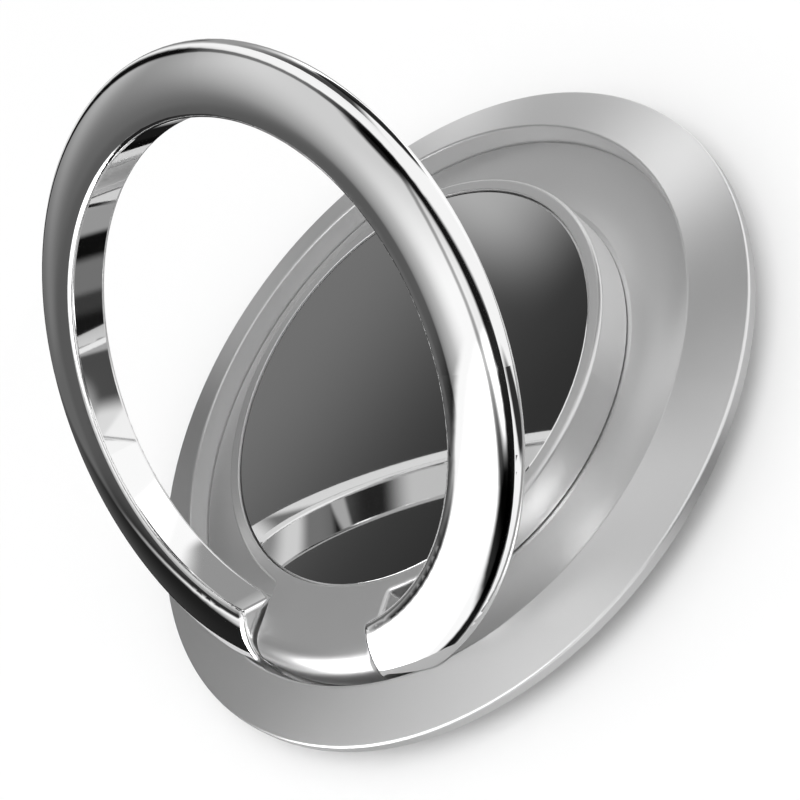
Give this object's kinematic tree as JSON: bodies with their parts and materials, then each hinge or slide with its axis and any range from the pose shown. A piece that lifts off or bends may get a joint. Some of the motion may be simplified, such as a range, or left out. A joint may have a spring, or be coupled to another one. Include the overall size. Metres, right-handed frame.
{
  "type": "phone ring holder",
  "caption": "Stick-on phone ring holder: a round dish, a turning hub with a mirror plate, and a polished finger ring that folds flat or props up.",
  "frame": {"origin": "centre of the pad's sticky face", "axes": "+Z out of the phone along the turning axis, X along the hinge pin, the hinge on the -Y side, the ring stored propped up as in the picture"},
  "size_m": [0.04, 0.04, 0.025],
  "materials": {
    "dish_satin": "satin, fine blasted",
    "hub_satin": "satin plated",
    "plate_mirror": "mirror polished",
    "ring_chrome": "mirror polished",
    "pin_steel": "drawn",
    "spring_steel": "blued",
    "washer_plastic": "natural",
    "cover_film": "plain",
    "tape_film": "plain",
    "pad_foam": "matte, sticky"
  },
  "bodies": {
    "base": {"base_dish": "dish_satin", "rear_cover": "cover_film", "adhesive_pad": "pad_foam", "glide_washer": "washer_plastic"},
    "hub": {"hinge_hub": "hub_satin", "mirror_plate": "plate_mirror", "mirror_tape": "tape_film", "snap_ring": "spring_steel", "wave_washer": "spring_steel", "hinge_pin": "pin_steel", "friction_washer_left": "washer_plastic", "friction_washer_right": "washer_plastic"},
    "ring": {"finger_ring": "ring_chrome"}
  },
  "joints": [
    {"name": "hub_turn", "type": "hinge", "parent": "base", "child": "hub", "pos_m": [0, 0, 0.0024], "axis": [0, 0, 1], "continuous": true},
    {"name": "ring_fold", "type": "hinge", "parent": "hub", "child": "ring", "pos_m": [0, -0.01463, 0.00236], "axis": [1, 0, 0], "range_deg": [-44.8, 5.2]}
  ]
}
